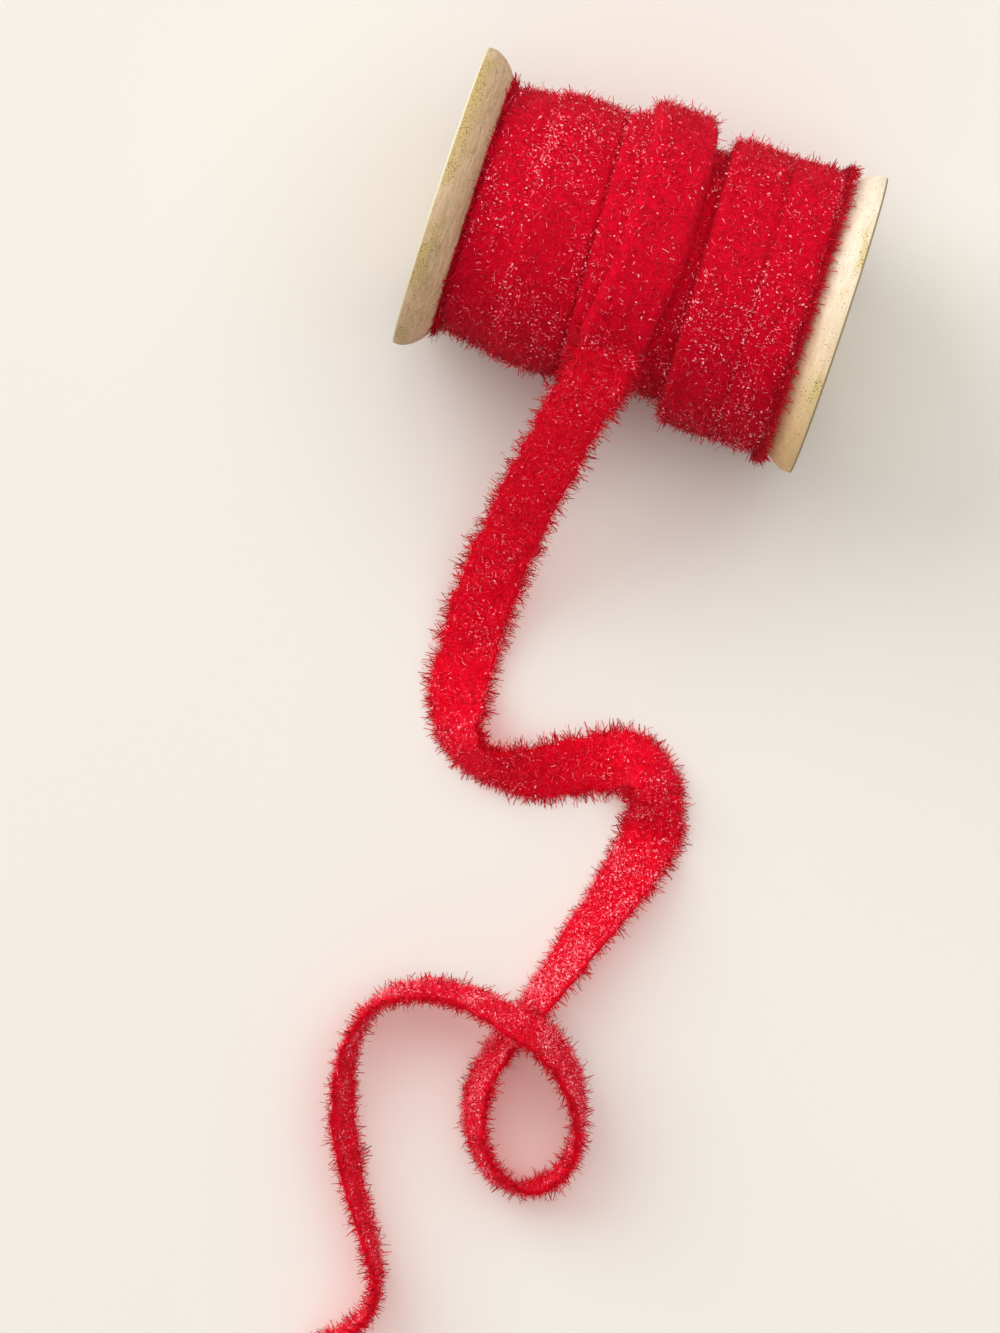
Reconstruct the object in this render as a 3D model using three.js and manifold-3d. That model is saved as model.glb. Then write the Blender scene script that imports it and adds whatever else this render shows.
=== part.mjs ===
// Roll of eyelash ribbon: a fringed ribbon wound on a turned wooden spool that lies on its side,
// with its loose end trailing over the table. Millimetres, +Z up. +X runs along the spool's axle,
// +Y points to the back, away from the loose end. The floor is z = 0.
import * as THREE from 'three';
import { mergeVertices } from 'three/addons/utils/BufferGeometryUtils.js';
import Module from 'manifold-3d';

const wasm = await Module();
wasm.setup();

// Spool
const SPOOL_LENGTH = 84;
const FLANGE_RADIUS = 31;
const FLANGE_THICKNESS = 7;
const FLANGE_ROUNDING = 5.5;
const FLANGE_CORNER = 0.3;
const FLANGE_SEGMENTS = 64;
const ROUNDING_STEPS = 6;
const BORE_RADIUS = 4;
const BARREL_RADIUS = 11;
const BARREL_SEGMENTS = 48;
const SOCKET_DEPTH = 3;
const AXLE_HEIGHT = 30.85;
const GAP = 0.3;

// Ribbon, with its dense pile
const RIBBON_WIDTH = 12.7;
const RIBBON_THICKNESS = 2.2;
const RIBBON_EDGE = 0.75;
const FLOOR_CLEARANCE = 0.35;
const TURN_STEP_DEG = 5;

// Where the last turn ends and the loose end goes on, counted from the front over the top, and half
// of the angle that the last turn's end face takes
const DEPARTURE_DEG = 50;
const BUTT_DEG = 0.2;

const HALF_LENGTH = SPOOL_LENGTH / 2;
const INNER_FACE = HALF_LENGTH - FLANGE_THICKNESS;
const ROUNDING_CENTRE = INNER_FACE + FLANGE_ROUNDING;
const ROUNDING_RADIUS = FLANGE_RADIUS - FLANGE_ROUNDING;

// The winding across its width. x and radius place a line that runs round the roll; lean is how far
// the line comes forward at the front and goes back at the back; last says whether the raised last
// turn covers the line, and shift moves it with that turn.
const WINDING_LINES = [
  { x: -34.6, radius: 22.0, lean: 0.0, last: 0 },
  { x: -34.6, radius: 25.8, lean: 0.0, last: 0 },
  { x: -31.0, radius: 26.3, lean: 0.2, last: 0 },
  { x: -27.5, radius: 26.9, lean: 0.5, last: 0 },
  { x: -24.0, radius: 27.3, lean: 0.7, last: 0 },
  { x: -23.3, radius: 28.2, lean: 0.7, last: 0 },
  { x: -19.0, radius: 28.4, lean: 0.8, last: 0 },
  { x: -14.5, radius: 28.4, lean: 0.9, last: 0 },
  { x: -10.7, radius: 28.1, lean: 1.0, last: 0 },
  { x: -10.1, radius: 26.9, lean: 1.0, last: 0 },
  { x: -9.5, radius: 28.5, lean: 1.0, last: 0 },
  { x: -7.2, radius: 28.9, lean: 0.6, last: 0 },
  { x: -4.9, radius: 28.9, lean: 0.0, last: 0, shift: 1 },
  { x: -4.3, radius: 28.8, lean: 0.0, last: 0.8, shift: 1 },
  { x: -3.3, radius: 28.7, lean: 0.0, last: 1, shift: 1 },
  { x: 2.0, radius: 28.4, lean: 0.0, last: 1, shift: 1 },
  { x: 3.5, radius: 26.4, lean: 0.0, last: 1, shift: 1 },
  { x: 7.3, radius: 26.2, lean: 0.0, last: 1, shift: 1 },
  { x: 8.2, radius: 26.2, lean: 0.0, last: 0.85, shift: 1 },
  { x: 8.8, radius: 26.2, lean: 0.0, last: 0, shift: 1 },
  { x: 11.4, radius: 26.3, lean: 1.0, last: 0 },
  { x: 12.0, radius: 29.4, lean: 1.0, last: 0 },
  { x: 13.2, radius: 30.0, lean: 1.0, last: 0 },
  { x: 18.5, radius: 30.2, lean: 0.9, last: 0 },
  { x: 23.3, radius: 30.0, lean: 0.8, last: 0 },
  { x: 24.0, radius: 29.2, lean: 0.8, last: 0 },
  { x: 24.7, radius: 30.0, lean: 0.7, last: 0 },
  { x: 30.5, radius: 30.3, lean: 0.3, last: 0 },
  { x: 35.0, radius: 30.2, lean: 0.0, last: 0 },
];

// Radii at which the winding's right edge follows the right flange's rounding, and its gap to it
const EDGE_RADII = [29.6, 28.0, 26.0, 22.0];
const EDGE_GAP = 0.45;

// How the raised last turn goes round: its surface's radius, and how far it has moved along the axle
const LAST_TURN = [
  { angle: 50, radius: 32.0, shift: -2.0 },
  { angle: 90, radius: 32.0, shift: 0.0 },
  { angle: 135, radius: 32.2, shift: -0.6 },
  { angle: 180, radius: 32.3, shift: -2.0 },
  { angle: 225, radius: 31.6, shift: -2.6 },
  { angle: 270, radius: 30.4, shift: -3.2 },
  { angle: 320, radius: 29.8, shift: -3.2 },
  { angle: 350, radius: 29.2, shift: -3.0 },
  { angle: 410, radius: 28.7, shift: -2.0 },
];

// The loose end, a row for each place where it bends or leans. x and y place its middle, low is the
// height of its lowest edge over the floor, lean is how far its left side (looking along it) is
// lifted, from 0, lying flat, to 90, standing on edge, and curl bends its section into an arch.
const TAIL = [
  { x: -0.1, y: -20.8, low: 52.6, lean: 0, curl: 0 },
  { x: -0.6, y: -24.8, low: 49.0, lean: 0, curl: 5 },
  { x: -2.0, y: -30.4, low: 43.4, lean: 0, curl: 12 },
  { x: -4.3, y: -40.5, low: 32.8, lean: 0, curl: 15 },
  { x: -6.2, y: -52.2, low: 21.2, lean: 0, curl: 15 },
  { x: -7.4, y: -60.5, low: 13.8, lean: 0, curl: 15 },
  { x: -8.2, y: -67.5, low: 8.6, lean: 0, curl: 12 },
  { x: -8.6, y: -75.0, low: 4.6, lean: 0, curl: 10 },
  { x: -8.5, y: -82.5, low: 1.8, lean: 0, curl: 8 },
  { x: -7.9, y: -91.5, low: 0.3, lean: 10, curl: 8 },
  { x: -6.7, y: -97.5, low: 0, lean: 32, curl: 10 },
  { x: -4.6, y: -102.0, low: 0, lean: 50, curl: 12 },
  { x: -1.3, y: -105.1, low: 0, lean: 61, curl: 15 },
  { x: 4.0, y: -106.0, low: 0, lean: 58, curl: 15 },
  { x: 10.0, y: -105.2, low: 0, lean: 38, curl: 20 },
  { x: 17.6, y: -102.0, low: 0, lean: 22, curl: 25 },
  { x: 25.0, y: -97.8, low: 0.2, lean: 4, curl: 32 },
  { x: 31.0, y: -95.6, low: 0.6, lean: -20, curl: 42 },
  { x: 35.6, y: -97.0, low: 1.0, lean: -38, curl: 48 },
  { x: 38.4, y: -100.7, low: 1.0, lean: -38, curl: 52 },
  { x: 39.2, y: -105.5, low: 0.6, lean: -18, curl: 58 },
  { x: 38.2, y: -112.8, low: 0, lean: 18, curl: 56 },
  { x: 35.6, y: -121.2, low: 0, lean: 36, curl: 35 },
  { x: 30.9, y: -137.2, low: 0, lean: 54, curl: 20 },
  { x: 25.6, y: -153.4, low: 0, lean: 68, curl: 10 },
  { x: 21.6, y: -167.0, low: 0, lean: 70, curl: 8 },
  { x: 22.3, y: -174.2, low: 0, lean: 72, curl: 8 },
  { x: 25.4, y: -180.6, low: 0, lean: 76, curl: 8 },
  { x: 30.4, y: -185.0, low: 0, lean: 82, curl: 8 },
  { x: 36.0, y: -185.9, low: 0, lean: 90, curl: 8 },
  { x: 41.0, y: -183.0, low: 0, lean: 98, curl: 8 },
  { x: 43.9, y: -177.4, low: 0.6, lean: 97, curl: 8 },
  { x: 43.7, y: -170.5, low: 2.4, lean: 88, curl: 8 },
  { x: 40.8, y: -163.7, low: 5.6, lean: 76, curl: 8 },
  { x: 36.0, y: -158.2, low: 9.6, lean: 68, curl: 8 },
  { x: 30.4, y: -154.9, low: 12.9, lean: 62, curl: 8 },
  { x: 25.0, y: -153.3, low: 14.0, lean: 64, curl: 8 },
  { x: 19.6, y: -152.2, low: 12.0, lean: 69, curl: 8 },
  { x: 12.7, y: -151.7, low: 8.2, lean: 73, curl: 8 },
  { x: 5.5, y: -152.8, low: 5.0, lean: 76, curl: 8 },
  { x: -0.4, y: -155.6, low: 3.2, lean: 82, curl: 8 },
  { x: -4.8, y: -160.8, low: 2.2, lean: 92, curl: 8 },
  { x: -6.2, y: -168.0, low: 1.6, lean: 101, curl: 8 },
  { x: -5.2, y: -176.5, low: 1.0, lean: 107, curl: 8 },
  { x: -2.4, y: -185.0, low: 0.4, lean: 110, curl: 8 },
  { x: 1.7, y: -193.2, low: 0, lean: 108, curl: 8 },
  { x: 10.7, y: -207.2, low: 0, lean: 99, curl: 8 },
  { x: 13.8, y: -213.2, low: 0, lean: 92, curl: 8 },
  { x: 14.3, y: -218.8, low: 0, lean: 88, curl: 8 },
  { x: 12.2, y: -223.2, low: 0, lean: 84, curl: 8 },
  { x: 4.8, y: -231.0, low: 0, lean: 80, curl: 8 },
];
const TAIL_STEPS_PER_ROW = 3;
const TAIL_HALF_STRIPS = 2;
const LEAST_CURL = 0.1;

const MERGE_DISTANCE = 1e-4;

const WOOD_TAN = new THREE.MeshStandardMaterial({ color: 0xc9ab78, roughness: 0.75, metalness: 0 });
const WOOD_PALE = new THREE.MeshStandardMaterial({ color: 0xe3cd9c, roughness: 0.7, metalness: 0 });
const TINSEL_RED = new THREE.MeshStandardMaterial({ color: 0xc8102e, roughness: 0.45, metalness: 0 });

const radians = THREE.MathUtils.degToRad;

// Copy whose faces share their vertices
function welded(geometry) {
  const bare = geometry.clone();
  bare.deleteAttribute('normal');
  bare.deleteAttribute('uv');
  return mergeVertices(bare, MERGE_DISTANCE);
}

// Closed solid for cutting and joining
function toSolid(geometry) {
  const merged = welded(geometry);
  return new wasm.Manifold(new wasm.Mesh({
    numProp: 3,
    vertProperties: new Float32Array(merged.attributes.position.array),
    triVerts: new Uint32Array(merged.index.array),
  }));
}

function toGeometry(solid) {
  const mesh = solid.getMesh();
  const geometry = new THREE.BufferGeometry();
  geometry.setAttribute('position', new THREE.BufferAttribute(mesh.vertProperties, 3));
  geometry.setIndex(new THREE.BufferAttribute(mesh.triVerts, 1));
  geometry.computeVertexNormals();
  return geometry;
}

// Distance of a flange's inner surface from the middle of the spool, at a given radius
function innerSurface(radius) {
  const rise = Math.max(0, radius - ROUNDING_RADIUS);
  return ROUNDING_CENTRE - Math.sqrt(FLANGE_ROUNDING ** 2 - rise ** 2);
}

// A profile of [distance along the axle, radius] turned about the axle, which lies along +X
function turned(profile, segments) {
  const points = profile.map(([along, radius]) => new THREE.Vector2(radius, along)).reverse();
  points.push(points[0].clone());
  const geometry = new THREE.LatheGeometry(points, segments);
  geometry.rotateZ(-Math.PI / 2);
  return geometry;
}

// Right-hand flange: socket for the barrel inside, flat end face, sharp outer corner, a rounded
// inner edge, and a small flat at the bottom where it stands
function flangeGeometry() {
  const socketFloor = INNER_FACE + SOCKET_DEPTH + GAP;
  const profile = [
    [HALF_LENGTH, BORE_RADIUS],
    [HALF_LENGTH, FLANGE_RADIUS - FLANGE_CORNER],
    [HALF_LENGTH - FLANGE_CORNER, FLANGE_RADIUS],
  ];
  for (let step = 0; step <= ROUNDING_STEPS; step += 1) {
    const turn = (step / ROUNDING_STEPS) * (Math.PI / 2);
    profile.push([
      ROUNDING_CENTRE - FLANGE_ROUNDING * Math.sin(turn),
      ROUNDING_RADIUS + FLANGE_ROUNDING * Math.cos(turn),
    ]);
  }
  profile.push(
    [INNER_FACE, BARREL_RADIUS + GAP],
    [socketFloor, BARREL_RADIUS + GAP],
    [socketFloor, BORE_RADIUS],
  );
  const disc = turned(profile, FLANGE_SEGMENTS);
  const below = new THREE.BoxGeometry(SPOOL_LENGTH * 2, FLANGE_RADIUS * 2, FLANGE_RADIUS);
  below.translate(0, 0, -AXLE_HEIGHT - FLANGE_RADIUS / 2);
  return toGeometry(toSolid(disc).subtract(toSolid(below)));
}

function barrelGeometry() {
  const end = INNER_FACE + SOCKET_DEPTH;
  return turned([
    [end, BORE_RADIUS],
    [end, BARREL_RADIUS],
    [-end, BARREL_RADIUS],
    [-end, BORE_RADIUS],
  ], BARREL_SEGMENTS);
}

// Value of a column of LAST_TURN at an angle, smoothly between its rows
function lastTurnAt(angle, column) {
  const turn = angle < DEPARTURE_DEG ? angle + 360 : angle;
  const next = Math.max(1, LAST_TURN.findIndex((row) => row.angle >= turn));
  const before = LAST_TURN[next - 1];
  const after = LAST_TURN[next];
  const share = THREE.MathUtils.smoothstep(turn, before.angle, after.angle);
  return THREE.MathUtils.lerp(before[column], after[column], share);
}

// Every fifth degree, with the end face of the last turn made steep
function windingAngles() {
  const angles = [];
  for (let angle = 0; angle < 360; angle += TURN_STEP_DEG) {
    if (angle === DEPARTURE_DEG) {
      angles.push(angle - BUTT_DEG, angle + BUTT_DEG);
    } else {
      angles.push(angle);
    }
  }
  return angles;
}

// Radius and place along the axle of one line of the winding at one angle
function windingPoint(line, angle) {
  const raised = Math.max(0, lastTurnAt(angle, 'radius') - line.radius);
  const height = Math.sin(radians(angle));
  const floorLimit = height < 0 ? (AXLE_HEIGHT - FLOOR_CLEARANCE) / -height : Infinity;
  return {
    x: line.x + line.lean * Math.cos(radians(angle)) + (line.shift ?? 0) * lastTurnAt(angle, 'shift'),
    radius: Math.min(line.radius + line.last * raised, floorLimit),
  };
}

function windingGeometry() {
  const edge = EDGE_RADII.map((radius) => ({
    x: innerSurface(radius) - EDGE_GAP, radius, lean: 0, last: 0,
  }));
  const bore = [INNER_FACE - GAP, -INNER_FACE + GAP].map((x) => ({
    x, radius: BARREL_RADIUS + GAP, lean: 0, last: 0,
  }));
  const outline = [...WINDING_LINES, ...edge, ...bore].reverse();
  const lines = [...outline, outline[0]];
  const angles = windingAngles();
  const profile = lines.map((line) => new THREE.Vector2(line.radius, line.x));
  const ring = new THREE.LatheGeometry(profile, angles.length);
  const position = ring.attributes.position;
  for (let index = 0; index < position.count; index += 1) {
    const line = lines[index % lines.length];
    const angle = angles[Math.floor(index / lines.length) % angles.length];
    const { x, radius } = windingPoint(line, angle);
    position.setXYZ(index, x, -radius * Math.cos(radians(angle)), radius * Math.sin(radians(angle)));
  }
  return toGeometry(toSolid(ring));
}

// Outline of the ribbon's section: flat, with thin edges
function ribbonSection() {
  const half = RIBBON_WIDTH / 2;
  const flat = half - RIBBON_THICKNESS / 2;
  const outline = [];
  for (const side of [-1, 1]) {
    for (let strip = -TAIL_HALF_STRIPS; strip <= TAIL_HALF_STRIPS; strip += 1) {
      const across = (flat * strip) / TAIL_HALF_STRIPS;
      outline.push(new THREE.Vector2(-side * across, (side * RIBBON_THICKNESS) / 2));
    }
    outline.push(new THREE.Vector2(-side * half, (side * RIBBON_EDGE) / 2));
    outline.push(new THREE.Vector2(-side * half, (-side * RIBBON_EDGE) / 2));
  }
  return new THREE.Shape(outline);
}

// Bends a flat section point into an arch of the given total angle
function curled(across, out, curl) {
  const bend = radians(Math.max(curl, LEAST_CURL)) / RIBBON_WIDTH;
  const ring = 1 / bend + out;
  return { across: ring * Math.sin(across * bend), out: ring * Math.cos(across * bend) - 1 / bend };
}

// Place, directions and curl of the loose end at a share of its rows
function tailStation(route, shape, share) {
  const middle = route.getPoint(share);
  const { x: low, y: lean, z: curl } = shape.getPoint(share);
  const ahead = route.getTangent(share);
  const left = new THREE.Vector3(0, 0, 1).cross(ahead).normalize();
  const across = left.applyAxisAngle(ahead, radians(lean));
  const out = ahead.clone().cross(across);
  return { middle, low: Math.max(0, low), curl, across, out };
}

function tailGeometry() {
  const steps = (TAIL.length - 1) * TAIL_STEPS_PER_ROW;
  const straight = new THREE.ExtrudeGeometry(ribbonSection(), { depth: 1, steps, bevelEnabled: false });
  const strip = welded(straight);
  const route = new THREE.CatmullRomCurve3(TAIL.map((row) => new THREE.Vector3(row.x, row.y, row.low)));
  const shape = new THREE.CatmullRomCurve3(TAIL.map((row) => new THREE.Vector3(row.low, row.lean, row.curl)));
  const position = strip.attributes.position;
  const stations = [];
  for (let step = 0; step <= steps; step += 1) {
    stations.push({ ...tailStation(route, shape, step / steps), points: [] });
  }
  for (let index = 0; index < position.count; index += 1) {
    const station = stations[Math.round(position.getZ(index) * steps)];
    const bent = curled(position.getX(index), position.getY(index), station.curl);
    const offset = station.across.clone().multiplyScalar(bent.across).addScaledVector(station.out, bent.out);
    station.points.push({ index, offset });
  }
  for (const station of stations) {
    const lowest = Math.min(...station.points.map(({ offset }) => offset.z));
    for (const { index, offset } of station.points) {
      position.setXYZ(
        index,
        station.middle.x + offset.x,
        station.middle.y + offset.y,
        station.low - lowest + offset.z,
      );
    }
  }
  return toGeometry(toSolid(strip));
}

function piece(name, geometry, material) {
  const mesh = new THREE.Mesh(geometry, material);
  mesh.name = name;
  return mesh;
}

const roll = new THREE.Group();
const rightFlange = piece('flange_right', flangeGeometry(), WOOD_PALE);
const leftFlange = piece('flange_left', flangeGeometry(), WOOD_TAN);
leftFlange.rotation.z = Math.PI;
roll.add(leftFlange, rightFlange);
roll.add(piece('barrel', barrelGeometry(), WOOD_PALE.clone()));
roll.add(piece('winding', windingGeometry(), TINSEL_RED));
for (const mesh of roll.children) {
  mesh.position.z = AXLE_HEIGHT;
}
roll.add(piece('tail', tailGeometry(), TINSEL_RED.clone()));

// The origin is on the floor under the middle of the whole thing
roll.updateMatrixWorld(true);
const box = new THREE.Box3().setFromObject(roll, true);
roll.position.set(-(box.min.x + box.max.x) / 2, -(box.min.y + box.max.y) / 2, 0);

export default roll;
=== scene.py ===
"""The looks of a roll of eyelash ribbon: a turned wooden spool, the ribbon wound on it and its loose end.

The ribbon is a woven ground under a dense pile of short tinsel lashes, with a few long ones that stand
out. Lengths are millimetres in the spool's own frame: the axle along X, the back at +Y and the floor at
z = 0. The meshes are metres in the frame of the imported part.
"""

import logging
import math
from dataclasses import dataclass, field, replace
from enum import Enum
from typing import NamedTuple

import bmesh
import bpy
import numpy as np
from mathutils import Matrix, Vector


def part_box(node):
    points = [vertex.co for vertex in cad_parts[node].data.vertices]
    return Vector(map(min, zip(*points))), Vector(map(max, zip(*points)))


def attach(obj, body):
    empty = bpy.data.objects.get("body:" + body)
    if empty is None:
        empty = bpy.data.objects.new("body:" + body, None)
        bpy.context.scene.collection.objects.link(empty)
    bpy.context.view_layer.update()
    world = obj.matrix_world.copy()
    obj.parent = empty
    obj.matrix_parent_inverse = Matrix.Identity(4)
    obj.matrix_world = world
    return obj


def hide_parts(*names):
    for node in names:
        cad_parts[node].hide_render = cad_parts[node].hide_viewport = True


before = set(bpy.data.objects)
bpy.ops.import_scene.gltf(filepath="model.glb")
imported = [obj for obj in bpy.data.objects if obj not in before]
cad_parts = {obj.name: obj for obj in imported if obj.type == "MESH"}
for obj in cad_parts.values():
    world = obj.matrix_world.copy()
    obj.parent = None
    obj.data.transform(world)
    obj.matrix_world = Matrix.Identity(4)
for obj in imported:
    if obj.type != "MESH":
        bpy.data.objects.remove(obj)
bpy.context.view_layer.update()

LOG = logging.getLogger("ribbon_roll")
MM = 0.001
BODY = "root"
SEED = 20

Array = np.ndarray
Chance = np.random.Generator
Material = bpy.types.Material
Piece = bpy.types.Object
Socket = bpy.types.NodeSocket
Colour = tuple[float, float, float]
Triple = tuple[float, float, float]
Range = tuple[float, float]


class Slot(Enum):
    """Names of the record's material slots."""

    WOOD_TAN = "wood_tan"
    WOOD_PALE = "wood_pale"
    RIBBON = "ribbon_red"


class Side(Enum):
    """The two ends of the spool, as the sign of X that each lies at."""

    LEFT = -1
    RIGHT = 1


def spool_centre() -> Array:
    """Place of the middle of the spool's axle, in millimetres."""
    low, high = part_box("barrel")
    return np.array((low + high) / 2) / MM


CENTRE = spool_centre()
AXLE_HEIGHT = CENTRE[2]


def in_frame(points: Array) -> Array:
    """Points in the spool's own frame with heights over the floor, put in the part's frame in metres."""
    return (points + np.array([CENTRE[0], CENTRE[1], 0.0])) * MM


class Shader:
    """A material and the nodes that feed its one shader."""

    def __init__(self, name: str) -> None:
        """Starts a material with only its Principled shader and output.

        Args:
            name: the material's name.
        """
        self.material = bpy.data.materials.new(name)
        self.material.use_nodes = True
        self.nodes = self.material.node_tree.nodes
        self.surface = self.nodes["Principled BSDF"]

    def node(self, kind: str, inputs: dict | None = None, **settings: object) -> bpy.types.Node:
        """Adds a node.

        Args:
            kind: the node type's name without its ShaderNode prefix.
            inputs: values or sockets for its inputs, by name or number.
            settings: the node's own settings.

        Returns:
            The new node.
        """
        made = self.nodes.new("ShaderNode" + kind)
        for key, value in settings.items():
            setattr(made, key, value)
        for key, value in (inputs or {}).items():
            self.feed(made.inputs[key], value)
        return made

    def feed(self, socket: Socket, value: object) -> None:
        """Links a socket to another, or sets its value.

        Args:
            socket: the input.
            value: what goes in, a socket or a plain value.
        """
        if isinstance(value, Socket):
            self.material.node_tree.links.new(value, socket)
        else:
            socket.default_value = value

    def set(self, **values: object) -> None:
        """Feeds the shader's own inputs, named with underscores for spaces."""
        for key, value in values.items():
            self.feed(self.surface.inputs[key.replace("_", " ")], value)

    def ramp(self, factor: Socket, stops: list[tuple[float, Colour]]) -> Socket:
        """Adds a colour ramp.

        Args:
            factor: what drives it.
            stops: its places and colours, in order.

        Returns:
            Its colour socket.
        """
        made = self.node("ValToRGB", {"Fac": factor})
        elements = made.color_ramp.elements
        while len(elements) < len(stops):
            elements.new(1.0)
        for element, (place, colour) in zip(elements, stops):
            element.position = place
            element.color = (*colour, 1.0)
        return made.outputs["Color"]

    def noise(self, vector: Socket, scale: float, detail: float = 3.0, distortion: float = 0.0) -> Socket:
        """Adds a noise texture and returns its factor socket."""
        values = {"Vector": vector, "Scale": scale, "Detail": detail, "Distortion": distortion}
        return self.node("TexNoise", values).outputs["Fac"]

    def share(self, value: Socket, low: float, high: float) -> Socket:
        """Adds a node that takes a value from low to high as 0 to 1 and returns its socket."""
        return self.node("MapRange", {"Value": value, "From Min": low, "From Max": high}).outputs["Result"]

    def mapped(self, turn: Triple, scale: Triple) -> Socket:
        """Object coordinates, turned by degrees and scaled, as a socket.

        Args:
            turn: degrees about X, Y and Z.
            scale: how far each axis is stretched.

        Returns:
            The socket.
        """
        source = self.node("TexCoord").outputs["Object"]
        angles = tuple(math.radians(angle) for angle in turn)
        values = {"Vector": source, "Rotation": angles, "Scale": scale}
        return self.node("Mapping", values).outputs["Vector"]

    def maths(self, kind: str, *values: object) -> Socket:
        """Adds a Math node of that kind and returns its socket."""
        return self.node("Math", dict(enumerate(values)), operation=kind).outputs[0]

    def distance_from_axle(self, place: Socket) -> Socket:
        """How far a place in metres lies from the spool's axle, as a socket.

        Args:
            place: the place's socket.

        Returns:
            The distance's socket.
        """
        axle = self.node("VectorMath", {0: place, 1: tuple(CENTRE * MM)}, operation="SUBTRACT").outputs[0]
        flat = self.node("VectorMath", {0: axle, 1: (0.0, 1.0, 1.0)}, operation="MULTIPLY").outputs[0]
        return self.node("VectorMath", {0: flat}, operation="LENGTH").outputs["Value"]

    def blend(self, kind: str, factor: object, first: object, second: object) -> Socket:
        """Mixes two colours in the way that kind names and returns the colour socket.

        Args:
            kind: the way, such as MIX or MULTIPLY.
            factor: how far the second takes part.
            first: a colour or its socket.
            second: another.

        Returns:
            The mixed colour's socket.
        """
        made = self.node("Mix", data_type="RGBA", blend_type=kind)
        for index, value in ((0, factor), (6, first), (7, second)):
            self.feed(made.inputs[index], value)
        return made.outputs[2]

    def let_through(self, tint: Colour) -> None:
        """Lets lamp light go on through the surface, tinted, as it does through thin dyed film.

        Args:
            tint: the colour that the light takes.
        """
        clear = self.node("BsdfTransparent", {"Color": (*tint, 1.0)})
        shadow = self.node("LightPath").outputs["Is Shadow Ray"]
        mixed = self.node("MixShader", {"Fac": shadow})
        output = self.nodes["Material Output"]
        self.feed(mixed.inputs[1], self.surface.outputs[0])
        self.feed(mixed.inputs[2], clear.outputs[0])
        self.feed(output.inputs["Surface"], mixed.outputs[0])

    def bump(self, height: Socket, strength: float, distance: float) -> None:
        """Raises the surface by a height socket, over a distance in metres."""
        values = {"Height": height, "Strength": strength, "Distance": distance}
        self.set(Normal=self.node("Bump", values).outputs["Normal"])


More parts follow.
